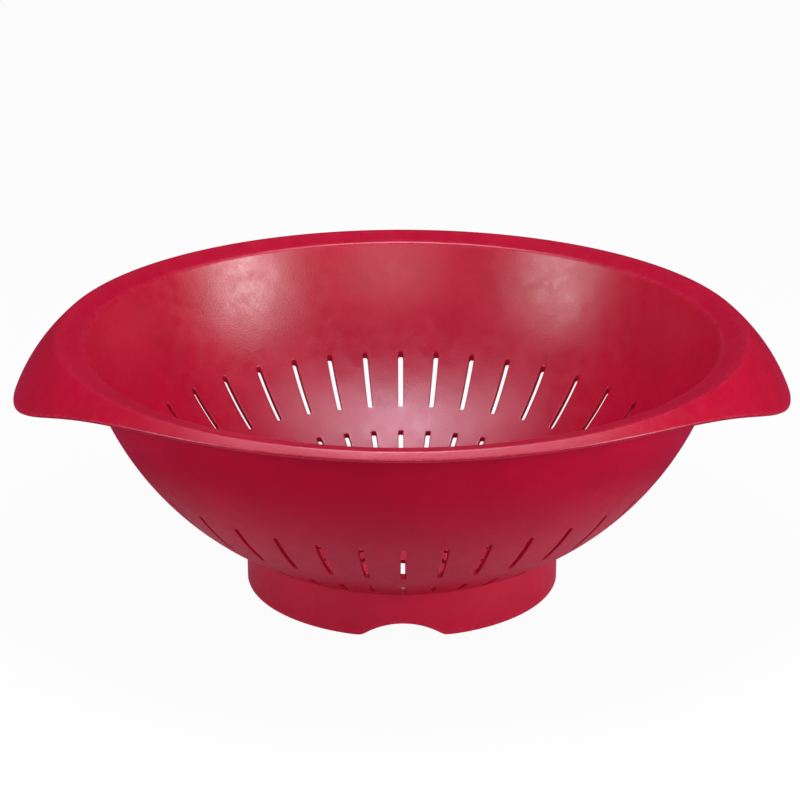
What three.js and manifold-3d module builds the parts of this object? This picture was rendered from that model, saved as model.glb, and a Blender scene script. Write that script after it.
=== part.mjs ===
// A round moulded colander: a slotted bowl on a ring foot, with a rim that droops into a grip on each side.
// Millimetres, +Z up. The origin is on the table under the bowl's middle, the grips lie along X and the
// front looks along -Y. Every ring is turned from a section drawn as (radius, height), outside going up.

import * as THREE from 'three';
import { mergeVertices } from 'three/addons/utils/BufferGeometryUtils.js';
import Module from 'manifold-3d';

const wasm = await Module();
wasm.setup();

// Driving dimensions: the bowl's section, from the floor up
const WALL = 2;                   // thickness of the bowl, the rim and the grips
const FLOOR_LIFT = 12.6;          // table to the underside of the floor
const FLOOR_RADIUS = 40.3;        // flat middle of the floor
const FLOOR_CURVE = 60;           // radius of the curve from the floor into the side
const FLOOR_TURN = 25;            // degrees that this curve turns
const BOWL_CURVE = 131.3;         // radius of the side's long curve
const BOWL_TURN = 47.1;           // degrees that the long curve turns
const BOWL_STRAIGHT = 16;         // straight stretch from the long curve to the rim

// Driving dimensions: the ring foot
const FOOT_RADIUS = 69.7;         // outside of the foot
const FOOT_WALL = 2.2;
const FOOT_COLLAR = 1.6;          // short collar under the floor that the foot stands against
const ARCH_WIDTH = 35;            // arched gap in the foot's lower edge, front and back
const ARCH_HEIGHT = 6.5;

// Driving dimensions: the slots, with lengths and gaps as seen from above
const SLOT_COUNT = 36;            // slots in each row of the wall
const SLOT_CROWDING = 4.3;        // degrees by which they crowd towards the front and the back
const SLOT_WIDTH = 2.3;
const SLOT_CORNER = 0.7;          // rounding of a slot's corners
const LOWER_SLOT_GAP = 5.3;       // foot to the lower row
const LOWER_SLOT_LENGTH = 13.6;
const SLOT_BRIDGE = 10.2;         // wall left between the two rows
const UPPER_SLOT_LENGTH = 18.6;
const PLAIN_MARGIN = 4;           // wall left above the upper row before the plain band starts
const FLOOR_SLOT_COUNT = 18;
const FLOOR_SLOT_START = 20;      // middle of the floor to the near end of its slots
const FLOOR_SLOT_LENGTH = 34;

// Driving dimensions: the rim and the grips
const LIP_RISE = 1.9;             // the bowl's lip above the straight stretch
const RIM_WIDTH = 11.5;           // lip to the ridge, seen from above
const RIM_RISE = 3.4;             // lip to the ridge, upwards
const RIDGE_ROUND = 3;            // rounding of the ridge
const SKIRT_SLOPE = 40;           // degrees below level of the skirt where it leaves the ridge
const SKIRT_CURVE = 68.75;        // radius at which the skirt curls down
const RIM_EDGE = 4.7;             // ridge to the rim's edge, along the skirt
const GRIP_LENGTH = 29.75;        // how much farther the skirt runs at the middle of a grip
const GRIP_HALF_ANGLE = 27.2;     // degrees from a grip's middle to where it is half as long
const GRIP_FLARE = 2.9;           // how sharply the grip's outline runs back into the rim
const GRIP_END_ANGLE = 65;        // degrees from a grip's middle to its ends
const GRIP_CUT_TILT = 55;         // degrees that the grip's edge is tilted, about square to its sheet

// Fineness of the turned and curved forms
const TURN_STEPS = 72;
const SLOTTED_CURVE_STEPS = 4;
const PLAIN_CURVE_STEPS = 3;
const SHORT_CURVE_STEPS = 3;
const SKIRT_STEPS = 6;
const GRIP_EDGE_STEPS = 36;
const SLOT_CORNER_STEPS = 1;
const ARCH_STEPS = 12;

const CUT_MARGIN = 5;             // how far a cutting shape runs past what it cuts
const WELD = 1e-4;

const radians = THREE.MathUtils.degToRad;
const point = (radius, height) => new THREE.Vector2(radius, height);

// A curve in a section: an arc met at a slope, 0 being level. A hollow arc rises outwards like a bowl's
// side, a humped one falls outwards like the skirt. Inset moves the point through the wall.
function hollowPoint(curve, slope, inset = 0) {
  const radius = curve.radius - inset;
  return point(curve.centre.x + radius * Math.sin(slope), curve.centre.y - radius * Math.cos(slope));
}

function humpedPoint(curve, slope, inset = 0) {
  const radius = curve.radius - inset;
  return point(curve.centre.x + radius * Math.sin(slope), curve.centre.y + radius * Math.cos(slope));
}

function arcPoints(pointOn, curve, from, to, steps, inset = 0) {
  const slopes = Array.from({ length: steps + 1 }, (_, i) => from + (to - from) * i / steps);
  return slopes.map((slope) => pointOn(curve, slope, inset));
}

const slopeAtRadius = (curve, radius, inset = 0) =>
  Math.asin((radius - curve.centre.x) / (curve.radius - inset));
const slopeAtHeight = (curve, height, inset = 0) =>
  Math.acos((curve.centre.y - height) / (curve.radius - inset));

// The bowl's two tangent curves, on its outside
const blendSlope = radians(FLOOR_TURN);
const sideSlope = radians(FLOOR_TURN + BOWL_TURN);
const floorCurve = { radius: FLOOR_CURVE, centre: point(FLOOR_RADIUS, FLOOR_LIFT + FLOOR_CURVE) };
const blend = hollowPoint(floorCurve, blendSlope);
const bowlCurve = {
  radius: BOWL_CURVE,
  centre: point(blend.x - BOWL_CURVE * Math.sin(blendSlope), blend.y + BOWL_CURVE * Math.cos(blendSlope)),
};

// Heights and radii where one piece of the bowl ends and the next begins
const sideTop = hollowPoint(bowlCurve, sideSlope);
const bandTop = point(
  sideTop.x + BOWL_STRAIGHT * Math.cos(sideSlope),
  sideTop.y + BOWL_STRAIGHT * Math.sin(sideSlope),
);
const bandTopInside = bandTop.x - WALL / Math.sin(sideSlope);
const lowerSlotStart = FOOT_RADIUS + LOWER_SLOT_GAP;
const lowerSlotEnd = lowerSlotStart + LOWER_SLOT_LENGTH;
const upperSlotStart = lowerSlotEnd + SLOT_BRIDGE;
const upperSlotEnd = upperSlotStart + UPPER_SLOT_LENGTH;
const floorTop = hollowPoint(bowlCurve, slopeAtRadius(bowlCurve, (FOOT_RADIUS + lowerSlotStart) / 2)).y;
const strainerTop = hollowPoint(bowlCurve, slopeAtRadius(bowlCurve, upperSlotEnd + PLAIN_MARGIN)).y;
const footInside = FOOT_RADIUS - FOOT_WALL;
const footTop = hollowPoint(bowlCurve, slopeAtRadius(bowlCurve, footInside)).y - FOOT_COLLAR;

// The lip, the ridge and the skirt that curls down outside it
const lip = point(bandTopInside + LIP_RISE / Math.tan(sideSlope), bandTop.y + LIP_RISE);
const ridge = point(lip.x + RIM_WIDTH, lip.y + RIM_RISE);
const skirtStart = radians(SKIRT_SLOPE);
const skirtCurve = {
  radius: SKIRT_CURVE,
  centre: point(ridge.x - SKIRT_CURVE * Math.sin(skirtStart), ridge.y - SKIRT_CURVE * Math.cos(skirtStart)),
};
const skirtSlope = (length) => skirtStart + length / SKIRT_CURVE;
const rimEdgeSlope = skirtSlope(RIM_EDGE);

// Joins the equal points of a closed geometry and drops the triangles that this flattens.
function weld(geometry) {
  geometry.deleteAttribute('normal');
  geometry.deleteAttribute('uv');
  const welded = mergeVertices(geometry, WELD);
  const corners = welded.index.array;
  const kept = [];
  for (let i = 0; i < corners.length; i += 3) {
    const [a, b, c] = corners.slice(i, i + 3);
    if (a !== b && b !== c && c !== a) kept.push(a, b, c);
  }
  welded.setIndex(kept);
  return welded;
}

function toSolid(geometry) {
  const welded = weld(geometry);
  return new wasm.Manifold(new wasm.Mesh({
    numProp: 3,
    vertProperties: new Float32Array(welded.attributes.position.array),
    triVerts: new Uint32Array(welded.index.array),
  }));
}

function toGeometry(solid) {
  const { vertProperties, triVerts } = solid.getMesh();
  const geometry = new THREE.BufferGeometry();
  geometry.setAttribute('position', new THREE.BufferAttribute(new Float32Array(vertProperties), 3));
  geometry.setIndex(new THREE.BufferAttribute(new Uint32Array(triVerts), 1));
  return geometry;
}

// Turns a section about the Z axis.
function turned(section) {
  return weld(new THREE.LatheGeometry(section, TURN_STEPS).rotateX(Math.PI / 2));
}

function turnedRing(section) {
  return turned([...section, section[0]]);
}

// A slot's cutting shape, lying along +X from one radius to another and standing through the whole bowl.
function slotCutter(start, end) {
  const half = SLOT_WIDTH / 2;
  const shape = new THREE.Shape();
  shape.absarc(end - SLOT_CORNER, half - SLOT_CORNER, SLOT_CORNER, 0, Math.PI / 2);
  shape.absarc(start + SLOT_CORNER, half - SLOT_CORNER, SLOT_CORNER, Math.PI / 2, Math.PI);
  shape.absarc(start + SLOT_CORNER, SLOT_CORNER - half, SLOT_CORNER, Math.PI, 3 * Math.PI / 2);
  shape.absarc(end - SLOT_CORNER, SLOT_CORNER - half, SLOT_CORNER, 3 * Math.PI / 2, 2 * Math.PI);
  return new THREE.ExtrudeGeometry(shape, {
    depth: bandTop.y,
    bevelEnabled: false,
    curveSegments: SLOT_CORNER_STEPS,
  });
}

// The turn of a wall slot from the front. Even steps, drawn together towards the front and the back.
function slotAngle(index) {
  const even = 2 * Math.PI * index / SLOT_COUNT;
  return even - radians(SLOT_CROWDING) * Math.sin(2 * even);
}

function cutSlots(solid, start, end, angles) {
  return angles.reduce(
    (left, angle) => left.subtract(toSolid(slotCutter(start, end).rotateZ(angle - Math.PI / 2))),
    solid,
  );
}

// The foot: a plain ring with an arched gap through its front and its back.
function footRing() {
  const ring = turnedRing([
    point(footInside, 0),
    point(FOOT_RADIUS, 0),
    point(FOOT_RADIUS, footTop),
    point(footInside, footTop),
  ]);
  const archRadius = (ARCH_WIDTH ** 2 / 4 + ARCH_HEIGHT ** 2) / (2 * ARCH_HEIGHT);
  const archHalfTurn = Math.asin(ARCH_WIDTH / 2 / archRadius);
  const arch = new THREE.Shape();
  arch.moveTo(-ARCH_WIDTH / 2, -CUT_MARGIN);
  arch.lineTo(ARCH_WIDTH / 2, -CUT_MARGIN);
  arch.absarc(0, ARCH_HEIGHT - archRadius, archRadius, Math.PI / 2 - archHalfTurn, Math.PI / 2 + archHalfTurn);
  const depth = 2 * (FOOT_RADIUS + CUT_MARGIN);
  const cutter = new THREE.ExtrudeGeometry(arch, { depth, bevelEnabled: false, curveSegments: ARCH_STEPS });
  cutter.translate(0, 0, -depth / 2).rotateX(Math.PI / 2);
  return toGeometry(toSolid(ring).subtract(toSolid(cutter)));
}

// The floor: a shallow dish with a collar for the foot and slots like the rays of a star.
function drainFloor() {
  const floorInside = FLOOR_LIFT + WALL;
  const dish = turned([
    point(0, FLOOR_LIFT),
    ...arcPoints(hollowPoint, floorCurve, 0, blendSlope, SHORT_CURVE_STEPS),
    hollowPoint(bowlCurve, slopeAtRadius(bowlCurve, footInside)),
    point(footInside, footTop),
    point(FOOT_RADIUS, footTop),
    hollowPoint(bowlCurve, slopeAtRadius(bowlCurve, FOOT_RADIUS)),
    hollowPoint(bowlCurve, slopeAtHeight(bowlCurve, floorTop)),
    hollowPoint(bowlCurve, slopeAtHeight(bowlCurve, floorTop, WALL), WALL),
    ...arcPoints(hollowPoint, floorCurve, blendSlope, 0, SHORT_CURVE_STEPS, WALL),
    point(0, floorInside),
  ]);
  const angles = Array.from({ length: FLOOR_SLOT_COUNT }, (_, i) => 2 * Math.PI * i / FLOOR_SLOT_COUNT);
  const end = FLOOR_SLOT_START + FLOOR_SLOT_LENGTH;
  return toGeometry(cutSlots(toSolid(dish), FLOOR_SLOT_START, end, angles));
}

// The slotted wall: a band of the long curve between two level cuts, with two rows of upright slots.
function strainerWall() {
  const outside = [floorTop, strainerTop].map((height) => slopeAtHeight(bowlCurve, height));
  const inside = [strainerTop, floorTop].map((height) => slopeAtHeight(bowlCurve, height, WALL));
  const band = turnedRing([
    ...arcPoints(hollowPoint, bowlCurve, ...outside, SLOTTED_CURVE_STEPS),
    ...arcPoints(hollowPoint, bowlCurve, ...inside, SLOTTED_CURVE_STEPS, WALL),
  ]);
  const angles = Array.from({ length: SLOT_COUNT }, (_, i) => slotAngle(i));
  const lowerCut = cutSlots(toSolid(band), lowerSlotStart, lowerSlotEnd, angles);
  return toGeometry(cutSlots(lowerCut, upperSlotStart, upperSlotEnd, angles));
}

// The plain wall: the rest of the long curve and the straight stretch, up to the rim.
function upperWall() {
  const from = slopeAtHeight(bowlCurve, strainerTop);
  const fromInside = slopeAtHeight(bowlCurve, strainerTop, WALL);
  return turnedRing([
    ...arcPoints(hollowPoint, bowlCurve, from, sideSlope, PLAIN_CURVE_STEPS),
    bandTop,
    point(bandTopInside, bandTop.y),
    ...arcPoints(hollowPoint, bowlCurve, sideSlope, fromInside, PLAIN_CURVE_STEPS, WALL),
  ]);
}

// The rim: lip, sloping flange, rounded ridge and the start of the skirt, one wall thick.
function rimFlange() {
  const flangeSlope = Math.atan2(RIM_RISE, RIM_WIDTH);
  const flangeNormal = point(-Math.sin(flangeSlope), Math.cos(flangeSlope));
  const skirtNormal = point(Math.sin(skirtStart), Math.cos(skirtStart));
  const mitre = flangeNormal.clone().add(skirtNormal).divideScalar(1 + flangeNormal.dot(skirtNormal));
  const roundCurve = { radius: RIDGE_ROUND, centre: ridge.clone().addScaledVector(mitre, -RIDGE_ROUND) };
  return turnedRing([
    point(bandTopInside, bandTop.y),
    bandTop,
    ridge.clone().addScaledVector(mitre, -WALL),
    humpedPoint(skirtCurve, rimEdgeSlope, WALL),
    humpedPoint(skirtCurve, rimEdgeSlope),
    ...arcPoints(humpedPoint, roundCurve, skirtStart, -flangeSlope, SHORT_CURVE_STEPS),
    lip,
  ]);
}

// How far the skirt runs from the ridge, at an angle from a grip's middle.
function skirtLength(angle) {
  const spread = Math.tan(Math.abs(angle)) / Math.tan(radians(GRIP_HALF_ANGLE));
  return RIM_EDGE + GRIP_LENGTH / (1 + spread ** GRIP_FLARE);
}

// A grip: the skirt carried on past the rim's edge, trimmed square to its own sheet along the grip's outline.
function grip() {
  const longest = skirtSlope(skirtLength(0) + CUT_MARGIN);
  const sheet = turnedRing([
    ...arcPoints(humpedPoint, skirtCurve, rimEdgeSlope, longest, SKIRT_STEPS, WALL),
    ...arcPoints(humpedPoint, skirtCurve, longest, rimEdgeSlope, SKIRT_STEPS),
  ]);

  const tilt = radians(GRIP_CUT_TILT);
  const across = new THREE.Vector3(Math.cos(tilt), 0, -Math.sin(tilt));
  const along = new THREE.Vector3(Math.sin(tilt), 0, Math.cos(tilt));
  const end = radians(GRIP_END_ANGLE);
  const edge = Array.from({ length: GRIP_EDGE_STEPS + 1 }, (_, i) => {
    const angle = end * (2 * i / GRIP_EDGE_STEPS - 1);
    const { x: radius, y: height } = humpedPoint(skirtCurve, skirtSlope(skirtLength(angle)));
    return new THREE.Vector3(radius * Math.cos(angle), radius * Math.sin(angle), height);
  });
  const outline = new THREE.Shape(edge.map((corner) => point(corner.dot(across), corner.y)));
  const reach = edge.map((corner) => corner.dot(along));
  const low = Math.min(...reach) - GRIP_LENGTH;
  const high = Math.max(...reach) + CUT_MARGIN;
  const cutter = new THREE.ExtrudeGeometry(outline, { depth: high - low, bevelEnabled: false });
  cutter.translate(0, 0, low);
  cutter.applyMatrix4(new THREE.Matrix4().makeBasis(across, new THREE.Vector3(0, 1, 0), along));
  return toGeometry(toSolid(sheet).intersect(toSolid(cutter)));
}

// Satin polypropylene, dyed through.
function plastic() {
  return new THREE.MeshStandardMaterial({ color: 0xae0c33, roughness: 0.42, metalness: 0 });
}

const colander = new THREE.Group();

function place(name, geometry, turn = 0) {
  const mesh = new THREE.Mesh(geometry, plastic());
  mesh.name = name;
  mesh.rotation.z = turn;
  colander.add(mesh);
}

place('foot_ring', footRing());
place('drain_floor', drainFloor());
place('strainer_wall', strainerWall());
place('upper_wall', upperWall());
place('rim_flange', rimFlange());
place('right_handle', grip());
place('left_handle', grip(), Math.PI);

export default colander;
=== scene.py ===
# A round moulded colander in cherry-red satin plastic: a slotted bowl on a ring foot, with a rim that droops
# into a grip on each side. Sections are worked out in millimetres as (radius, height) and put into the meshes
# in metres. Turns about the bowl's axis are counted from the front, which looks along -Y, towards +X.

import bpy
import numpy as np
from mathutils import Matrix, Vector


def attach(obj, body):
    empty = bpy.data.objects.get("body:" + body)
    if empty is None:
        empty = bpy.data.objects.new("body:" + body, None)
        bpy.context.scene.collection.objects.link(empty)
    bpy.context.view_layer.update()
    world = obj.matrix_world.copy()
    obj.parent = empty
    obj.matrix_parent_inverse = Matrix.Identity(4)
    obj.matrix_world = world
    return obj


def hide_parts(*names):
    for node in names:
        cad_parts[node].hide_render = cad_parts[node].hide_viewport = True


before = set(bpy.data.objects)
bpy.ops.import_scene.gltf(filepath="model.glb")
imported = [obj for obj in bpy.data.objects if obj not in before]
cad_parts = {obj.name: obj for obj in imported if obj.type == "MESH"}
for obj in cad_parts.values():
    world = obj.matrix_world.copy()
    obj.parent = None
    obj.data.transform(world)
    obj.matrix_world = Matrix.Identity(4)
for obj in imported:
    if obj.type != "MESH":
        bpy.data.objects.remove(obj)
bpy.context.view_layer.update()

MM = 0.001

# The bowl's section, from the floor up
WALL = 2.0
FLOOR_LIFT = 12.6
FLOOR_RADIUS = 40.3
FLOOR_CURVE = 60.0
FLOOR_TURN = np.radians(25.0)
BOWL_CURVE = 131.3
SIDE_SLOPE = np.radians(72.1)
BOWL_STRAIGHT = 16.0

# The ring foot and its two arched gaps
FOOT_RADIUS = 69.7
FOOT_WALL = 2.2
FOOT_EDGE = 0.4          # rounding of the lower edges
FOOT_SINK = 0.3          # how far the foot's top runs into the bowl's wall
ARCH_WIDTH = 35.0
ARCH_HEIGHT = 6.5
ARCH_SOFTNESS = 1.2      # rounding where an arch runs out into the flat edge
FOOT_COLUMNS = 720       # steps round the foot
FOOT_EDGE_STEPS = 5      # steps round each lower edge
FOOT_SIDE_STEPS = 8      # steps up each side

# The slots, with lengths as seen from above
SLOT_COUNT = 36
SLOT_CROWDING = np.radians(4.3)
SLOT_WIDTH = 2.3
SLOT_CORNER = 0.7
SLOT_EDGE = 0.3          # rounding where a slot opens through the wall
LOWER_SLOT = (75.0, 88.6)
UPPER_SLOT = (98.8, 117.4)
STRAINER_START = 72.35
STRAINER_MIDDLE = 93.7
STRAINER_END = 121.4
FLOOR_SLOT_COUNT = 18
FLOOR_SLOT = (20.0, 54.0)
FLOOR_SLOT_BAND = (12.0, 62.0)
COLUMNS = 432            # steps round the bowl
SPARE_SLOTS = 3          # slots counted on past a full turn at each end
SLOT_SIDE_STEPS = 16     # steps along a slot's side
CELL_SHARES = (0.0, 0.35, 0.65, 0.85, 1.0)  # shares of the way from a cell's edge to its slot
SLOT_ROUNDING = np.radians([30.0, 60.0, 90.0])  # turns round the edge into the slot
MIDDLE_RINGS = 5         # rings of points on the floor's plain middle
OUTER_RINGS = 9          # rings of points on the floor's plain border

# The plain wall
WALL_ARC_STEPS = 12      # steps along its curve
WALL_STRAIGHT_STEPS = 4  # steps along its straight stretch

# The rim and the grips
LIP_RISE = 1.9
LIP_ROUND = 1.0
RIM_WIDTH = 11.5
RIM_RISE = 3.4
RIDGE_REACH = 2.6        # how far the ridge's rounding runs up the flange
RIDGE_DROP = 1.2         # how far it runs down the skirt
SKIRT_SLOPE = np.radians(40.0)
SKIRT_CURVE = 68.75
RIM_EDGE = 4.7
EDGE_ROUND = 0.6         # rounding of the edge's upper corner
UNDER_EDGE_ROUND = 0.4
UNDER_RIDGE_ROUND = 0.6  # how far the ridge's rounding runs up under the flange
GRIP_LENGTH = 29.75
GRIP_HALF_ANGLE = np.radians(27.2)
GRIP_FLARE = 2.9
SKIRT_STEPS = 18         # steps along the skirt
UNDER_FLANGE_STEPS = 4
UNDER_CORNER_STEPS = 4
EDGE_STEPS = 5
RIDGE_STEPS = 9
FLANGE_STEPS = 6
LIP_STEPS = 6

# How far the edges are paled, from 0 to 1: scuffing wear, and along the ridge also a painted highlight line
FOOT_RUB = 1.0
EDGE_RUB = 1.0
UNDER_EDGE_RUB = 0.7
LIP_RUB = 0.6
# the ridge's paler line is partly wear and partly a painted highlight
RIDGE_RUB_AND_HIGHLIGHT = 0.35

# Colours of the finishes
DEEP_DYE = (0.425, 0.0001, 0.0230, 1.0)
PALE_DYE = (0.465, 0.0004, 0.0270, 1.0)
# pale dye of scuffed edges, also laid along the ridge as a painted highlight
RUB_AND_HIGHLIGHT_DYE = (0.62, 0.060, 0.120, 1.0)
RED_CARD = ((0.34, 0.036, 0.11, 1.0), (0.38, 0.044, 0.13, 1.0))
PINK_CARD = ((0.92, 0.17, 0.48, 1.0), (0.96, 0.21, 0.52, 1.0))
WHITE_CARD = ((0.76, 0.76, 0.763, 1.0), (0.80, 0.80, 0.803, 1.0))
PLAIN_WHITE = (1.0, 1.0, 1.0, 1.0)

# Patterns of the finishes, in cells per metre, and their depths in metres
CLOUD_CELLS = 38.0
RUB_AND_HIGHLIGHT_CELLS = 420.0
SATIN_CELLS = 160.0
SWELL_CELLS = 55.0
GRAIN_CELLS = 1400.0
FIBRE_CELLS = 300.0
SWELL_DEPTH = 0.0012
GRAIN_DEPTH = 0.00014
RUB_AND_HIGHLIGHT_LIMIT = 0.30         # largest share of the pale edge dye (wear, and a painted highlight on the ridge)
SATIN_ROUGHNESS = (0.28, 0.40)
PLASTIC_IOR = 1.49
PLASTIC_GLOSS = 0.78

# The light, with radii of the floor in metres
ROOM_GLOW = 0.022        # level of the light from all round
GLOSS_SHARE = 0.012      # share of the white surroundings that gloss sees
NEAR_GLOSS_SHARE = 0.15  # the same share, of the floor's pink ring
PINK_RISE = (0.08, 0.10)  # radii between which the pink ring rises to its full strength
PINK_FALL = (0.11, 0.17)  # radii between which it runs out
PINK_CORE = 0.6          # share of pink inside the ring
FLOOR_GLOW = 0.95        # share of plain white in what shows of the floor
FLOOR_SIDE = 6.0
FLOOR_CELLS = 12
OVERHEAD_COLOUR = (0.97, 0.89, 1.06)

# The camera: a long lens about a metre away, 20 degrees above level
CAMERA_PLACE = (-0.0065, -1.0366, 0.4635)
CAMERA_GOAL = (-0.0009, 0.0, 0.0826)
CAMERA_LENS = 112.5
CAMERA_SENSOR = 36.0

WELD_GRID = 1e4          # steps to a millimetre, to which places are compared


# Sections as arrays of (radius, height)

def section_point(radius, height):
    """Stacks radius and height, spread to one shape, into section points."""
    return np.stack(np.broadcast_arrays(radius, height), axis=-1).astype(float)


def hollow_arc(centre, curve, slope):
    """A point of an arc that rises outwards: centre + curve * (sin slope, -cos slope)."""
    return section_point(centre[0] + curve * np.sin(slope), centre[1] - curve * np.cos(slope))


def humped_arc(centre, curve, slope):
    """A point of an arc that falls outwards: centre + curve * (sin slope, cos slope)."""
    return section_point(centre[0] + curve * np.sin(slope), centre[1] + curve * np.cos(slope))


def straight(start, end, steps):
    """Even points from start to end, both kept: start + (end - start) * share."""
    share = np.linspace(0.0, 1.0, steps + 1)[:, None]
    return np.asarray(start)[..., None, :] * (1 - share) + np.asarray(end)[..., None, :] * share


def corner(before, tip, after, steps):
    """A rounded corner: before * (1 - share) ^ 2 + tip * 2 share (1 - share) + after * share ^ 2, the
    parabola that leaves before and reaches after, both aimed at the sharp tip."""
    share = np.linspace(0.0, 1.0, steps + 1)[:, None]
    before, tip, after = (np.asarray(spot)[..., None, :] for spot in (before, tip, after))
    return before * (1 - share) ** 2 + tip * 2 * share * (1 - share) + after * share ** 2


def towards(start, goal, reach):
    """The point that lies reach along the straight way from start to goal."""
    way = np.asarray(goal) - np.asarray(start)
    return start + way / np.linalg.norm(way, axis=-1, keepdims=True) * np.asarray(reach)[..., None]


def join_rows(columns, *stretches):
    """Strings stretches of a section together, the same for all columns or one for each column."""
    spread = [np.broadcast_to(part, (columns,) + np.shape(part)[-2:]) for part in stretches]
    return np.concatenate(spread, axis=1)


# The bowl's curves, shared by several pieces
FLOOR_CENTRE = np.array([FLOOR_RADIUS, FLOOR_LIFT + FLOOR_CURVE])
BLEND = hollow_arc(FLOOR_CENTRE, FLOOR_CURVE, FLOOR_TURN)
BOWL_CENTRE = BLEND - BOWL_CURVE * np.array([np.sin(FLOOR_TURN), -np.cos(FLOOR_TURN)])
SIDE_TOP = hollow_arc(BOWL_CENTRE, BOWL_CURVE, SIDE_SLOPE)
BAND_TOP = SIDE_TOP + BOWL_STRAIGHT * np.array([np.cos(SIDE_SLOPE), np.sin(SIDE_SLOPE)])
BAND_TOP_INSIDE = BAND_TOP - np.array([WALL / np.sin(SIDE_SLOPE), 0.0])
LIP = BAND_TOP_INSIDE + LIP_RISE * np.array([1 / np.tan(SIDE_SLOPE), 1.0])
RIDGE = LIP + np.array([RIM_WIDTH, RIM_RISE])
SKIRT_CENTRE = RIDGE - SKIRT_CURVE * np.array([np.sin(SKIRT_SLOPE), np.cos(SKIRT_SLOPE)])


def wall_height(radius, inset=0.0):
    """Height of the bowl's wall over a plan radius: level, then the floor's curve, then the long curve, where
    a curve is centre height - sqrt(curve ^ 2 - (radius - centre radius) ^ 2). An inset of one wall thickness
    gives the inside."""
    floor_curve = FLOOR_CURVE - inset
    bowl_curve = BOWL_CURVE - inset
    blend = FLOOR_RADIUS + floor_curve * np.sin(FLOOR_TURN)
    on_floor = np.clip(radius - FLOOR_RADIUS, 0.0, floor_curve)
    on_bowl = np.clip(radius - BOWL_CENTRE[0], 0.0, bowl_curve)
    floor = FLOOR_CENTRE[1] - np.sqrt(floor_curve ** 2 - on_floor ** 2)
    bowl = BOWL_CENTRE[1] - np.sqrt(bowl_curve ** 2 - on_bowl ** 2)
    return np.where(radius < blend, floor, bowl)


# Turns about the axis

def even_turns():
    """Even steps once round, starting half a floor slot's step before the front."""
    return 2 * np.pi * np.arange(COLUMNS) / COLUMNS - np.pi / FLOOR_SLOT_COUNT


def crowded(even):
    """Turns of the wall's slots: even steps less crowding * sin(2 * even), straight between the slots and
    the midways."""
    slots = 2 * np.pi * np.arange(-SPARE_SLOTS, SLOT_COUNT + SPARE_SLOTS + 1) / SLOT_COUNT
    moved = slots - SLOT_CROWDING * np.sin(2 * slots)
    knots = np.sort(np.concatenate([slots, (slots[1:] + slots[:-1]) / 2]))
    places = np.sort(np.concatenate([moved, (moved[1:] + moved[:-1]) / 2]))
    return np.interp(even, knots, places)


def plan(turn, radius):
    """Plan position of a turn and a radius: radius * (sin turn, -cos turn)."""
    return np.stack(np.broadcast_arrays(radius * np.sin(turn), -radius * np.cos(turn)), axis=-1)


def lifted(flat, height):
    """Puts heights on plan positions."""
    return np.concatenate([flat, height[..., None]], axis=-1)


def revolve(turns, section):
    """Carries a section round the axis: (radius sin turn, -radius cos turn, height) on a turn by row grid."""
    turn = turns[:, None]
    radius = np.broadcast_to(section[..., 0], (len(turns), section.shape[-2]))
    height = np.broadcast_to(section[..., 1], radius.shape)
    return lifted(plan(turn, radius), height)


# Faces

def closed_grid(columns, rows, rows_close=True):
    """Four corners of each face of a grid that closes round its columns, and round its rows too if asked."""
    steps = rows if rows_close else rows - 1
    column, row = np.meshgrid(np.arange(columns), np.arange(steps), indexing="ij")
    column_on = (column + 1) % columns
    row_on = (row + 1) % rows
    here, beside = column * rows, column_on * rows
    corners = [here + row, beside + row, beside + row_on, here + row_on]
    return np.stack(corners, axis=-1).reshape(-1, 4)


def welded(points, faces):
    """Gives points that share a place one number, so that neighbouring grids close up. Returns the points
    kept, the faces with the new numbers, and which of the old points each kept one was."""
    grid = np.round(points * WELD_GRID).astype(np.int64)
    _, first, number = np.unique(grid, axis=0, return_index=True, return_inverse=True)
    return points[first], number.reshape(-1)[faces], first


def volume(points, faces):
    """Six times the space inside: the sum of corner triple products over each face's two triangles."""
    a, b, c, d = (points[faces[:, i]] for i in range(4))
    return np.sum(a * (np.cross(b, c) + np.cross(c, d)))


def piece(name, points, faces, flat=None, wear_and_highlight=None):
    """Makes an object of points in millimetres and four-cornered faces, welded, facing outwards and smooth
    but for the flat ones. A face whose corners meet at the axis becomes a triangle. The last argument says
    how far each point is paled: by scuffing wear, and on the ridge also by a painted highlight."""
    points, faces, first = welded(points.reshape(-1, 3), faces)
    if volume(points, faces) < 0:
        faces = faces[:, ::-1]
    flat = np.zeros(len(faces), bool) if flat is None else flat
    doubled = faces == np.roll(faces, -1, axis=1)
    pinched = doubled.any(axis=1)
    three = faces[pinched][~doubled[pinched]].reshape(-1, 3)
    mesh = bpy.data.meshes.new(name)
    mesh.from_pydata((points * MM).tolist(), [], faces[~pinched].tolist() + three.tolist())
    smooth = np.concatenate([~flat[~pinched], ~flat[pinched]])
    mesh.polygons.foreach_set("use_smooth", smooth)
    mark_sharp(mesh, faces[flat])
    rub_and_highlight = np.zeros(len(points)) if wear_and_highlight is None else wear_and_highlight.reshape(-1)[first]
    mesh.attributes.new("wear_and_highlight", "FLOAT", "POINT").data.foreach_set("value", rub_and_highlight.astype(np.float32))
    mesh.update()
    made = bpy.data.objects.new(name, mesh)
    bpy.context.scene.collection.objects.link(made)
    return made


def mark_sharp(mesh, faces):
    """Marks every edge of these faces as sharp, so that the smooth faces beside them shade as if alone."""
    ends = np.empty(2 * len(mesh.edges), np.int32)
    mesh.edges.foreach_get("vertices", ends)
    edges = np.sort(ends.reshape(-1, 2), axis=1).astype(np.int64)
    sides = np.stack([faces, np.roll(faces, -1, axis=1)], axis=-1).reshape(-1, 2)
    wanted = np.sort(sides, axis=1).astype(np.int64)
    many = len(mesh.vertices)
    mesh.edges.foreach_set("use_edge_sharp", np.isin(edges @ [many, 1], wanted @ [many, 1]))


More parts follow.
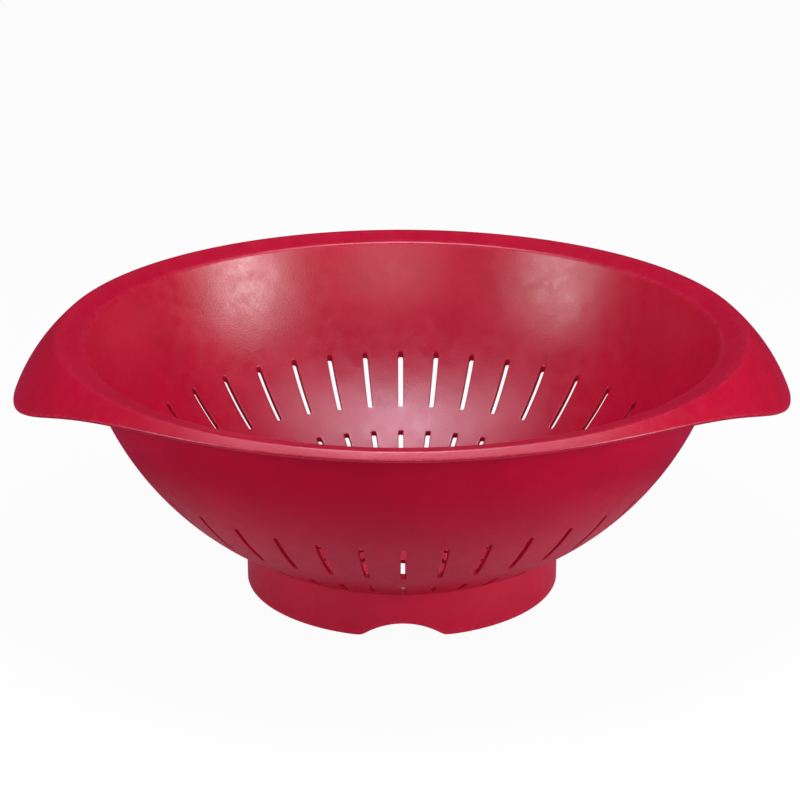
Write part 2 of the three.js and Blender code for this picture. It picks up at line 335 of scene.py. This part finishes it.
def stack_grids(*grids):
    """Numbers several grids of points, faces and flatness on from each other and joins them."""
    starts = np.cumsum([0] + [len(points) for points, _, _ in grids])
    points = np.concatenate([points for points, _, _ in grids])
    faces = np.concatenate([faces + start for (_, faces, _), start in zip(grids, starts)])
    flat = np.concatenate([np.full(len(faces), flat) for _, faces, flat in grids])
    return points, faces, flat


# The slotted bands of the wall and the floor

def slot_outline(start, end, end_steps):
    """A slot along the radius, once round as (across, along): the middles of its roundings, and the ways
    out from them."""
    half = SLOT_WIDTH / 2 - SLOT_CORNER
    low, high = start + SLOT_CORNER, end - SLOT_CORNER
    bend = np.linspace(0.0, np.pi / 2, end_steps // 2)[:-1]
    side = np.linspace(low, high, SLOT_SIDE_STEPS + 1)[:-1]
    width = np.array([half, 0.0])
    turn = np.concatenate([0 * side, bend, 0 * width + np.pi / 2, bend + np.pi / 2])
    across = np.concatenate([0 * side + half, 0 * bend + half, width, 0 * bend - half])
    along = np.concatenate([side, 0 * bend + high, 0 * width + high, 0 * bend + high])
    both_across = np.concatenate([across, -across])
    both_along = np.concatenate([along, low + high - along])
    middles = np.stack([both_across, both_along], axis=-1)
    turn = np.concatenate([turn, turn + np.pi])
    return middles, np.stack([np.cos(turn), np.sin(turn)], axis=-1)


def slotted_band(count, turn_of, slot, band):
    """A ring of wall cells, each with one slot cut straight down through it. The grid runs from a cell's edge
    over the outside to the slot, up through its rounded edges and back over the inside: between the edge and
    the slot a point is edge * (1 - share) + slot * share in plan, at the wall's height over that place."""
    end_steps = COLUMNS // count
    step = 2 * np.pi / count
    even = step * np.arange(count)[:, None]
    across = np.linspace(-0.5, 0.5, end_steps + 1) * step
    out = np.linspace(band[0], band[1], SLOT_SIDE_STEPS + 1)
    ones = np.ones(SLOT_SIDE_STEPS)
    aside = np.concatenate([ones * step / 2, across[:0:-1], -ones * step / 2, across[:-1]])
    edge_turn = turn_of(even + aside)
    ends = np.ones(end_steps)
    edge_radius = np.concatenate([out[:-1], ends * band[1], out[:0:-1], ends * band[0]])
    edge = plan(edge_turn, edge_radius)

    middles, ways = slot_outline(*slot, end_steps)
    axis_turn = turn_of(even)
    right = plan(axis_turn + np.pi / 2, 1.0)
    ahead = plan(axis_turn, 1.0)

    def outline(swell):
        """The slot's outline in plan, widened all round: middles + (corner + swell) * ways out."""
        local = middles + (SLOT_CORNER + swell) * ways
        return local[:, :1] * right + local[:, 1:] * ahead

    spread = outline(SLOT_EDGE)
    loops = [edge * (1 - share) + spread * share for share in CELL_SHARES]
    loops += [outline(SLOT_EDGE * (1 - np.sin(turn))) for turn in SLOT_ROUNDING]
    level = np.zeros(len(CELL_SHARES))
    depth = np.concatenate([level, SLOT_EDGE * (1 - np.cos(SLOT_ROUNDING))])[None, :, None]
    flat = np.stack(loops, axis=1)
    radius = np.hypot(flat[..., 0], flat[..., 1])
    under = lifted(flat, wall_height(radius) + depth)
    over = lifted(flat, wall_height(radius, WALL) - depth)
    points = np.concatenate([under, over[:, ::-1]], axis=1)
    rows, around = points.shape[1:3]
    faces = closed_grid(around, rows, rows_close=False)
    points = points.transpose(0, 2, 1, 3).reshape(count, -1, 3)
    starts = np.arange(count) * around * rows
    return points.reshape(-1, 3), (faces[None] + starts[:, None, None]).reshape(-1, 4), False


def upright_cut(turns, radius, outwards):
    """The flat edge of a piece where it meets its neighbour: a ring from the wall's outside straight up to
    its inside."""
    section = section_point(radius, np.array([wall_height(radius), wall_height(radius, WALL)]))
    faces = closed_grid(len(turns), 2, rows_close=False)
    return revolve(turns, section).reshape(-1, 3), faces if outwards else faces[:, ::-1], True


def strainer_wall():
    """The lower wall: two bands of slots between two upright cuts."""
    turns = crowded(even_turns())
    grids = stack_grids(
        slotted_band(SLOT_COUNT, crowded, LOWER_SLOT, (STRAINER_START, STRAINER_MIDDLE)),
        slotted_band(SLOT_COUNT, crowded, UPPER_SLOT, (STRAINER_MIDDLE, STRAINER_END)),
        upright_cut(turns, STRAINER_START, outwards=False),
        upright_cut(turns, STRAINER_END, outwards=True),
    )
    return piece("slotted_wall", *grids)


def plain_floor(turns, radii, over):
    """A ring without slots: the wall's height over each radius, on the inside if over, else the outside."""
    height = wall_height(radii, WALL if over else 0.0)
    points = lifted(plan(turns, radii), np.broadcast_to(height, np.broadcast(turns, radii).shape))
    faces = closed_grid(points.shape[0], points.shape[1], rows_close=False)
    return points.reshape(-1, 3), faces[:, ::-1] if over else faces, False


def drain_floor():
    """The floor: a plain middle, a band of slots like the rays of a star and a plain ring whose columns drift
    from even steps to the wall's crowded ones."""
    even = even_turns()
    middle = np.linspace(0.0, FLOOR_SLOT_BAND[0], MIDDLE_RINGS)[None, :]
    outer = np.linspace(FLOOR_SLOT_BAND[1], STRAINER_START, OUTER_RINGS)[None, :]
    share = np.linspace(0.0, 1.0, OUTER_RINGS)[None, :]
    drift = even[:, None] * (1 - share) + crowded(even)[:, None] * share
    grids = stack_grids(
        plain_floor(even[:, None], middle, over=False),
        plain_floor(even[:, None], middle, over=True),
        slotted_band(FLOOR_SLOT_COUNT, lambda turn: turn, FLOOR_SLOT, FLOOR_SLOT_BAND),
        plain_floor(drift, outer, over=False),
        plain_floor(drift, outer, over=True),
        upright_cut(crowded(even), STRAINER_START, outwards=True),
    )
    return piece("slotted_floor", *grids)


# The plain rings

def upper_wall():
    """The plain wall: the rest of the long curve and the straight stretch, carried round the axis."""
    start = np.arcsin((STRAINER_END - BOWL_CENTRE[0]) / BOWL_CURVE)
    start_inside = np.arcsin((STRAINER_END - BOWL_CENTRE[0]) / (BOWL_CURVE - WALL))
    slopes = np.linspace(start, SIDE_SLOPE, WALL_ARC_STEPS + 1)
    slopes_inside = np.linspace(SIDE_SLOPE, start_inside, WALL_ARC_STEPS + 1)
    inside_top = hollow_arc(BOWL_CENTRE, BOWL_CURVE - WALL, SIDE_SLOPE)
    section = np.concatenate([
        hollow_arc(BOWL_CENTRE, BOWL_CURVE, slopes),
        straight(SIDE_TOP, BAND_TOP, WALL_STRAIGHT_STEPS)[1:],
        straight(BAND_TOP_INSIDE, inside_top, WALL_STRAIGHT_STEPS)[:-1],
        hollow_arc(BOWL_CENTRE, BOWL_CURVE - WALL, slopes_inside),
    ])
    rows = len(section)
    faces = closed_grid(COLUMNS, rows)
    top_row = WALL_ARC_STEPS + WALL_STRAIGHT_STEPS
    flat = np.isin(np.arange(rows), [top_row, rows - 1])
    return piece("plain_wall", revolve(crowded(even_turns()), section), faces, np.tile(flat, COLUMNS))


def arch_lift(across):
    """How far the foot's lower edge is lifted: a circle's arc above level, run out softly as
    (arc + sqrt(arc * arc + softness * softness)) / 2."""
    curve = (ARCH_WIDTH ** 2 / 4 + ARCH_HEIGHT ** 2) / (2 * ARCH_HEIGHT)
    arc = ARCH_HEIGHT - curve + np.sqrt(curve ** 2 - np.clip(np.abs(across), 0.0, curve) ** 2)
    return (arc + np.sqrt(arc ** 2 + ARCH_SOFTNESS ** 2)) / 2


def foot_ring():
    """The foot: a thin ring section with rounded lower edges, its lower edge lifted over the two arches."""
    turns = 2 * np.pi * np.arange(FOOT_COLUMNS) / FOOT_COLUMNS
    radius = {"inside": FOOT_RADIUS - FOOT_WALL, "outside": FOOT_RADIUS}
    bottom = {side: arch_lift(radius[side] * np.sin(turns)) for side in radius}
    top = {side: wall_height(radius[side]) + FOOT_SINK for side in radius}

    def spot(side, inwards, above):
        """A section point beside a lower edge: so far into the wall, and so far above the edge."""
        middle = (radius["inside"] + radius["outside"]) / 2
        reach = inwards * np.sign(middle - radius[side])
        return section_point(radius[side] + reach, bottom[side] + above)

    inside_top = section_point(radius["inside"], top["inside"])
    outside_top = section_point(radius["outside"], top["outside"])
    inside_edge = (spot("inside", 0, FOOT_EDGE), spot("inside", 0, 0), spot("inside", FOOT_EDGE, 0))
    outside_edge = (spot("outside", FOOT_EDGE, 0), spot("outside", 0, 0), spot("outside", 0, FOOT_EDGE))
    section = join_rows(
        FOOT_COLUMNS,
        corner(*inside_edge, FOOT_EDGE_STEPS),
        corner(*outside_edge, FOOT_EDGE_STEPS),
        straight(outside_edge[2], outside_top, FOOT_SIDE_STEPS)[:, 1:],
        straight(inside_top, inside_edge[0], FOOT_SIDE_STEPS)[:, :-1],
    )
    rows = section.shape[1]
    edge_rows = 2 * (FOOT_EDGE_STEPS + 1)
    top_row = edge_rows + FOOT_SIDE_STEPS - 1
    wear_and_highlight = np.zeros((FOOT_COLUMNS, rows))
    wear_and_highlight[:, :edge_rows] = FOOT_RUB
    flat = np.arange(rows) == top_row
    faces = closed_grid(FOOT_COLUMNS, rows)
    return piece("standing_ring", revolve(turns, section), faces, np.tile(flat, FOOT_COLUMNS), wear_and_highlight)


def skirt_length(turns):
    """How far the skirt runs from the ridge: the rim's edge + grip length / (1 + (tan a / tan half) ^ flare),
    where a is the turn from the middle of the nearer grip."""
    from_grip = np.abs(np.abs(np.angle(np.exp(1j * turns))) - np.pi / 2)
    spread = np.tan(from_grip) / np.tan(GRIP_HALF_ANGLE)
    return RIM_EDGE + GRIP_LENGTH / (1 + spread ** GRIP_FLARE)


def rim_with_grips():
    """The rim: lip, sloping flange, rounded ridge and skirt, one wall thick, carried round the axis while the
    skirt's length follows the grips' outline. Its rounded edge is square with the sheet."""
    turns = crowded(even_turns())
    flange = (RIDGE - LIP) / np.linalg.norm(RIDGE - LIP)
    flange_normal = np.array([-flange[1], flange[0]])
    skirt_normal = np.array([np.sin(SKIRT_SLOPE), np.cos(SKIRT_SLOPE)])
    mitre = (flange_normal + skirt_normal) / (1 + flange_normal @ skirt_normal)
    ridge_under = RIDGE - WALL * mitre

    end_slope = SKIRT_SLOPE + skirt_length(turns)[:, None] / SKIRT_CURVE
    end = humped_arc(SKIRT_CENTRE, SKIRT_CURVE, end_slope[:, 0])
    under_end = humped_arc(SKIRT_CENTRE, SKIRT_CURVE - WALL, end_slope[:, 0])
    first_slope = SKIRT_SLOPE + RIDGE_DROP / SKIRT_CURVE
    share = np.linspace(0.0, 1.0, SKIRT_STEPS + 1)
    under_slopes = first_slope * (1 - share) + (end_slope - UNDER_EDGE_ROUND / SKIRT_CURVE) * share
    over_slopes = first_slope * share + (end_slope - EDGE_ROUND / SKIRT_CURVE) * (1 - share)
    under_skirt = humped_arc(SKIRT_CENTRE, SKIRT_CURVE - WALL, under_slopes)
    over_skirt = humped_arc(SKIRT_CENTRE, SKIRT_CURVE, over_slopes)
    ridge_in = towards(RIDGE, LIP, RIDGE_REACH)
    lip_out = towards(LIP, RIDGE, LIP_ROUND)
    lip_down = towards(LIP, BAND_TOP_INSIDE, LIP_ROUND)
    ridge_under_in = towards(ridge_under, BAND_TOP, UNDER_RIDGE_ROUND)
    under_edge_out = towards(under_end, end, UNDER_EDGE_ROUND)
    edge_in = towards(end, under_end, EDGE_ROUND)
    stretches = [
        (straight(BAND_TOP_INSIDE, BAND_TOP, 1), 0.0),
        (straight(BAND_TOP, ridge_under_in, UNDER_FLANGE_STEPS)[1:-1], 0.0),
        (corner(ridge_under_in, ridge_under, under_skirt[:, 0], UNDER_CORNER_STEPS), 0.0),
        (under_skirt[:, 1:-1], 0.0),
        (corner(under_skirt[:, -1], under_end, under_edge_out, UNDER_CORNER_STEPS), UNDER_EDGE_RUB),
        (corner(edge_in, end, over_skirt[:, 0], EDGE_STEPS), EDGE_RUB),
        (over_skirt[:, 1:-1], 0.0),
        # The ridge's rounding pales a little: partly wear, partly a painted highlight line
        (corner(over_skirt[:, -1], RIDGE, ridge_in, RIDGE_STEPS), RIDGE_RUB_AND_HIGHLIGHT),
        (straight(ridge_in, lip_out, FLANGE_STEPS)[1:-1], 0.0),
        (corner(lip_out, LIP, lip_down, LIP_STEPS), LIP_RUB),
    ]
    section = join_rows(COLUMNS, *[part for part, _ in stretches])
    marks = np.concatenate([np.full(np.shape(part)[-2], paling) for part, paling in stretches])
    rows = section.shape[1]
    wear_and_highlight = np.tile(marks, (COLUMNS, 1))
    flat = np.arange(rows) == 0
    faces = closed_grid(COLUMNS, rows)
    return piece("rim_with_grips", revolve(turns, section), faces, np.tile(flat, COLUMNS), wear_and_highlight)


# Finishes

def new_material(name):
    """An empty node material, its node tree and its output."""
    material = bpy.data.materials.new(name)
    material.use_nodes = True
    tree = material.node_tree
    tree.nodes.clear()
    return material, tree, tree.nodes.new("ShaderNodeOutputMaterial")


def noise(tree, place, scale, detail, roughness=0.5):
    """A cloud pattern on the piece's own place in the frame, in cells per metre."""
    node = tree.nodes.new("ShaderNodeTexNoise")
    node.inputs["Scale"].default_value = scale
    node.inputs["Detail"].default_value = detail
    node.inputs["Roughness"].default_value = roughness
    tree.links.new(place, node.inputs["Vector"])
    return node.outputs["Fac"]


def ranged(tree, value, low, high, to_low, to_high):
    """Stretches a value from one range to another."""
    node = tree.nodes.new("ShaderNodeMapRange")
    for socket, number in zip(("From Min", "From Max", "To Min", "To Max"), (low, high, to_low, to_high)):
        node.inputs[socket].default_value = number
    tree.links.new(value, node.inputs["Value"])
    return node.outputs["Result"]


def combined(tree, operation, first, second):
    """One value of two: their product, or the larger of them."""
    node = tree.nodes.new("ShaderNodeMath")
    node.operation = operation
    tree.links.new(first, node.inputs[0])
    tree.links.new(second, node.inputs[1])
    return node.outputs["Value"]


def tinted(tree, share, first, second):
    """A colour between two, by a share; either colour may be another node's."""
    node = tree.nodes.new("ShaderNodeMix")
    node.data_type = "RGBA"
    tree.links.new(share, node.inputs["Factor"])
    for socket, colour in zip(("A", "B"), (first, second)):
        target = next(s for s in node.inputs if s.name == socket and s.type == "RGBA")
        if isinstance(colour, tuple):
            target.default_value = colour
        else:
            tree.links.new(colour, target)
    return next(s for s in node.outputs if s.type == "RGBA")


def bumped(tree, height, strength, distance, base=None):
    """A surface normal rocked by a height pattern, on top of another if given."""
    node = tree.nodes.new("ShaderNodeBump")
    node.inputs["Strength"].default_value = strength
    node.inputs["Distance"].default_value = distance
    tree.links.new(height, node.inputs["Height"])
    if base is not None:
        tree.links.new(base, node.inputs["Normal"])
    return node.outputs["Normal"]


def cherry_plastic():
    """Satin polypropylene dyed through: a fine spark-eroded grain, slow swells from the mould, a roughness
    that wanders a little, faint clouds in the dye, and edges scuffed paler; the paler line along the ridge is
    also a painted highlight."""
    material, tree, output = new_material("cherry_plastic")
    shader = tree.nodes.new("ShaderNodeBsdfPrincipled")
    place = tree.nodes.new("ShaderNodeTexCoord").outputs["Object"]
    wear_and_highlight = tree.nodes.new("ShaderNodeAttribute")
    wear_and_highlight.attribute_name = "wear_and_highlight"

    clouds = ranged(tree, noise(tree, place, CLOUD_CELLS, detail=3.0), 0.35, 0.65, 0.0, 1.0)
    dye = tinted(tree, clouds, DEEP_DYE, PALE_DYE)
    # Edges pale towards a pinker dye in patches: scuffing wear, and along the ridge a painted highlight
    patchy = ranged(tree, noise(tree, place, RUB_AND_HIGHLIGHT_CELLS, detail=3.0), 0.40, 0.62, 0.0, RUB_AND_HIGHLIGHT_LIMIT)
    rub_and_highlight = combined(tree, "MULTIPLY", wear_and_highlight.outputs["Fac"], patchy)
    tree.links.new(tinted(tree, rub_and_highlight, dye, RUB_AND_HIGHLIGHT_DYE), shader.inputs["Base Color"])

    patches = noise(tree, place, SATIN_CELLS, detail=4.0, roughness=0.6)
    satin = ranged(tree, patches, 0.30, 0.70, *SATIN_ROUGHNESS)
    tree.links.new(satin, shader.inputs["Roughness"])
    slow = noise(tree, place, SWELL_CELLS, detail=1.0)
    fine = noise(tree, place, GRAIN_CELLS, detail=2.0, roughness=0.6)
    swells = bumped(tree, slow, strength=0.25, distance=SWELL_DEPTH)
    grain = bumped(tree, fine, strength=0.55, distance=GRAIN_DEPTH, base=swells)
    tree.links.new(grain, shader.inputs["Normal"])
    shader.inputs["IOR"].default_value = PLASTIC_IOR
    shader.inputs["Specular IOR Level"].default_value = PLASTIC_GLOSS
    tree.links.new(shader.outputs["BSDF"], output.inputs["Surface"])
    return material


def seen_directly(tree, near=None):
    """1 for what the camera sees itself or through glass, a share of that for what it sees in gloss, else 0.
    Where near is given, gloss sees a share that grows with it."""
    path = tree.nodes.new("ShaderNodeLightPath")
    glossy = path.outputs["Is Glossy Ray"]
    if near is None:
        gloss = ranged(tree, glossy, 0.0, 1.0, 0.0, GLOSS_SHARE)
    else:
        share = ranged(tree, near, 0.0, 1.0, GLOSS_SHARE, NEAR_GLOSS_SHARE)
        gloss = combined(tree, "MULTIPLY", glossy, share)
    clear = combined(tree, "MAXIMUM", path.outputs["Is Camera Ray"], path.outputs["Is Transmission Ray"])
    return combined(tree, "MAXIMUM", clear, gloss)


def pink_ring(tree, place):
    """A share of pink under the bowl, by the distance from the floor's middle: a part of it about the middle,
    all of it in a ring and none beyond."""
    away = tree.nodes.new("ShaderNodeVectorMath")
    away.operation = "LENGTH"
    tree.links.new(place, away.inputs[0])
    distance = away.outputs["Value"]
    rise = ranged(tree, distance, *PINK_RISE, PINK_CORE, 1.0)
    fall = ranged(tree, distance, *PINK_FALL, 1.0, 0.0)
    return combined(tree, "MULTIPLY", rise, fall)


def pale_floor_finish():
    """Matt card that shows as plain white with a faint shadow. It bounces light as pink card does in a ring
    under the bowl, and as red card does all round."""
    material, tree, output = new_material("pale_card")
    card = tree.nodes.new("ShaderNodeBsdfDiffuse")
    place = tree.nodes.new("ShaderNodeTexCoord").outputs["Object"]
    fibres = ranged(tree, noise(tree, place, FIBRE_CELLS, detail=3.0), 0.3, 0.7, 0.0, 1.0)
    red, pink, white = (tinted(tree, fibres, *pair) for pair in (RED_CARD, PINK_CARD, WHITE_CARD))
    near = pink_ring(tree, place)
    seen = seen_directly(tree, near)
    bounce = tinted(tree, near, red, pink)
    tree.links.new(tinted(tree, seen, bounce, white), card.inputs["Color"])
    glow = tree.nodes.new("ShaderNodeEmission")
    glow.inputs["Color"].default_value = PLAIN_WHITE
    glow.inputs["Strength"].default_value = 1.0
    mixed = tree.nodes.new("ShaderNodeMixShader")
    tree.links.new(ranged(tree, seen, 0.0, 1.0, 0.0, FLOOR_GLOW), mixed.inputs["Fac"])
    tree.links.new(card.outputs["BSDF"], mixed.inputs[1])
    tree.links.new(glow.outputs["Emission"], mixed.inputs[2])
    tree.links.new(mixed.outputs["Shader"], output.inputs["Surface"])
    return material


# Stage, light and camera

def pale_floor():
    """A level square of card, worked out on a plain grid."""
    line = np.linspace(-FLOOR_SIDE / 2, FLOOR_SIDE / 2, FLOOR_CELLS + 1)
    x, y = np.meshgrid(line, line, indexing="ij")
    points = np.stack([x, y, 0 * x], axis=-1).reshape(-1, 3)
    column, row = np.meshgrid(np.arange(FLOOR_CELLS), np.arange(FLOOR_CELLS), indexing="ij")
    first = column * (FLOOR_CELLS + 1) + row
    along = first + FLOOR_CELLS + 1
    corners = np.stack([first, along, along + 1, first + 1], axis=-1)
    mesh = bpy.data.meshes.new("pale_floor")
    mesh.from_pydata(points.tolist(), [], corners.reshape(-1, 4).tolist())
    floor = bpy.data.objects.new("pale_floor", mesh)
    bpy.context.scene.collection.objects.link(floor)
    floor.data.materials.append(pale_floor_finish())


def surroundings():
    """An even room: faint soft light from all round, seen as white."""
    world = bpy.data.worlds.new("pale_room")
    world.use_nodes = True
    bpy.context.scene.world = world
    tree = world.node_tree
    tree.nodes.clear()
    output = tree.nodes.new("ShaderNodeOutputWorld")
    shades = []
    for strength in (ROOM_GLOW, 1.0):
        shade = tree.nodes.new("ShaderNodeBackground")
        shade.inputs["Color"].default_value = PLAIN_WHITE
        shade.inputs["Strength"].default_value = strength
        shades.append(shade.outputs["Background"])
    mixed = tree.nodes.new("ShaderNodeMixShader")
    tree.links.new(seen_directly(tree), mixed.inputs["Fac"])
    tree.links.new(shades[0], mixed.inputs[1])
    tree.links.new(shades[1], mixed.inputs[2])
    tree.links.new(mixed.outputs["Shader"], output.inputs["Surface"])


def aimed(thing, goal):
    """Turns a lamp or a camera to look at a point."""
    way = Vector(goal) - thing.location
    thing.rotation_euler = way.to_track_quat("-Z", "Y").to_euler()


def softbox(name, place, goal, width, height, glow, colour=PLAIN_WHITE[:3]):
    """A soft lamp whose face shines at a given level: its power is glow * pi * area."""
    lamp = bpy.data.lights.new(name, "AREA")
    lamp.shape = "RECTANGLE"
    lamp.size = width
    lamp.size_y = height
    lamp.color = colour
    lamp.energy = glow * np.pi * width * height
    made = bpy.data.objects.new(name, lamp)
    made.location = place
    bpy.context.scene.collection.objects.link(made)
    aimed(made, goal)


def studio():
    """Soft lamps: two overhead, two in front and one on each side."""
    surroundings()
    softbox(
        "overhead_softbox", place=(0.0, -0.08, 1.15), goal=(0.0, -0.079, 0.1),
        width=0.46, height=0.52, glow=6.0, colour=OVERHEAD_COLOUR,
    )
    softbox(
        "wide_softbox", place=(0.0, -0.10, 1.25), goal=(0.0, -0.099, 0.1),
        width=1.80, height=0.54, glow=3.1, colour=OVERHEAD_COLOUR,
    )
    softbox(
        "front_softbox", place=(0.10, -1.50, 0.55), goal=(0.0, 0.0, 0.05),
        width=0.90, height=0.60, glow=2.1,
    )
    softbox(
        "low_softbox", place=(0.0, -1.50, 0.20), goal=(0.0, 0.0, 0.06),
        width=1.20, height=0.25, glow=1.5,
    )
    for name, side, glow in (("left_softbox", -1, 9.2), ("right_softbox", 1, 14.6)):
        softbox(
            name, place=(side * 1.2, -0.55, 0.38), goal=(0.0, 0.0, 0.06),
            width=0.50, height=0.50, glow=glow,
        )


def front_camera():
    """Looks at the colander from the front."""
    camera = bpy.data.cameras.new("front_camera")
    camera.sensor_width = CAMERA_SENSOR
    camera.lens = CAMERA_LENS
    made = bpy.data.objects.new("front_camera", camera)
    made.location = CAMERA_PLACE
    bpy.context.scene.collection.objects.link(made)
    aimed(made, CAMERA_GOAL)
    bpy.context.scene.camera = made


def dress(made, finish, *nodes):
    """Gives a piece its finish and puts it in the place of the frame's nodes."""
    made.data.materials.append(finish)
    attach(made, "root")
    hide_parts(*nodes)


front_camera()
studio()
pale_floor()
plastic = cherry_plastic()
dress(foot_ring(), plastic, "foot_ring")
dress(drain_floor(), plastic, "drain_floor")
dress(strainer_wall(), plastic, "strainer_wall")
dress(upper_wall(), plastic, "upper_wall")
dress(rim_with_grips(), plastic, "rim_flange", "right_handle", "left_handle")

bpy.context.scene.view_settings.view_transform = "Standard"
